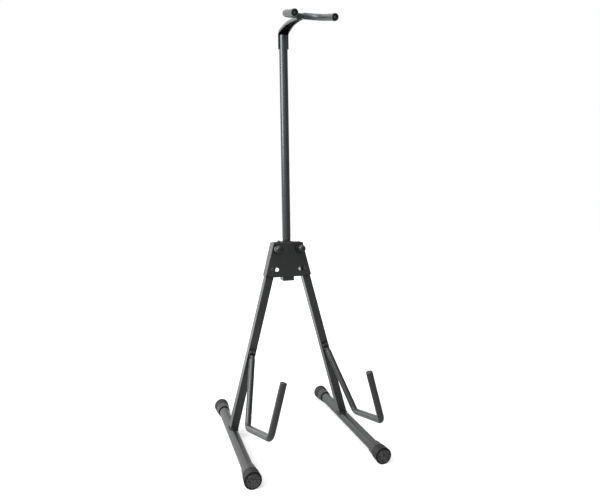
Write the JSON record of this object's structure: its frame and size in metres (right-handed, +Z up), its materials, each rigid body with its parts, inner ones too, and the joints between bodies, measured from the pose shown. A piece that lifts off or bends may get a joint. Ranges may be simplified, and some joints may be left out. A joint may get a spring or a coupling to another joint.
{
  "type": "guitar stand",
  "caption": "Folding guitar stand with splayed tube legs, padded hooks for the body, a round post clamped in a hinge head and a padded neck yoke",
  "frame": {"origin": "on the floor, under the axis of the post", "axes": "+X to the right seen from the front, +Y to the rear, +Z up along the post"},
  "size_m": [0.3252, 0.4438, 0.9766],
  "materials": {
    "black_powder": "satin black powder coat",
    "black_nut": "black plated, half gloss",
    "zinc_steel": "zinc plated",
    "foot_rubber": "matt moulded rubber",
    "sleeve_vinyl": "soft matt vinyl tube",
    "black_nylon": "matt moulded nylon"
  },
  "bodies": {
    "hinge_head": {"front_hinge_plate": "black_powder", "rear_hinge_plate": "black_powder", "post_socket": "black_powder", "socket_bushing": "black_nylon", "socket_end_plug": "black_nylon", "left_pivot_bolt": "zinc_steel", "right_pivot_bolt": "zinc_steel", "left_cap_nut": "black_nut", "right_cap_nut": "black_nut", "pivot_washers": "black_nut", "clamp_nut": "zinc_steel"},
    "left_leg": {"left_leg_tube": "black_powder", "left_pivot_bush": "black_nylon", "left_pivot_spacers": "black_nylon", "left_guide_pin": "black_nut", "left_foot_bar": "black_powder", "left_front_foot_cap": "foot_rubber", "left_rear_foot_cap": "foot_rubber", "left_hook_rod": "black_powder", "left_hook_sleeve": "sleeve_vinyl", "left_hook_rivets": "black_powder"},
    "right_leg": {"right_leg_tube": "black_powder", "right_pivot_bush": "black_nylon", "right_pivot_spacers": "black_nylon", "right_guide_pin": "black_nut", "right_foot_bar": "black_powder", "right_front_foot_cap": "foot_rubber", "right_rear_foot_cap": "foot_rubber", "right_hook_rod": "black_powder", "right_hook_sleeve": "sleeve_vinyl", "right_hook_rivets": "black_powder"},
    "post_carriage": {"post_bottom_plug": "black_nylon"},
    "post": {"post_tube": "black_powder", "neck_bracket": "black_powder", "bracket_rivets": "zinc_steel", "yoke_rod": "black_powder", "left_yoke_sleeve": "sleeve_vinyl", "right_yoke_sleeve": "sleeve_vinyl", "left_yoke_cap": "black_nylon", "right_yoke_cap": "black_nylon"},
    "clamp": {"clamp_screw": "zinc_steel", "clamp_grip": "black_nylon"}
  },
  "joints": [
    {"name": "left_leg_fold", "type": "hinge", "parent": "hinge_head", "child": "left_leg", "pos_m": [-0.0285, 0, 0.45826], "axis": [0, -1, 0], "range_deg": [0, 14.73]},
    {"name": "right_leg_fold", "type": "hinge", "parent": "hinge_head", "child": "right_leg", "pos_m": [0.0285, 0, 0.45826], "axis": [0, 1, 0], "range_deg": [0, 14.73]},
    {"name": "post_slide", "type": "slide", "parent": "hinge_head", "child": "post_carriage", "axis": [0, 0, 1], "range_m": [0, 0.05]},
    {"name": "post_swivel", "type": "hinge", "parent": "post_carriage", "child": "post", "pos_m": [0, 0, 0.3943], "axis": [0, 0, 1], "continuous": true},
    {"name": "clamp_turn", "type": "hinge", "parent": "hinge_head", "child": "clamp", "pos_m": [0, 0, 0.45826], "axis": [0, 1, 0], "range_deg": [0, 720]}
  ]
}
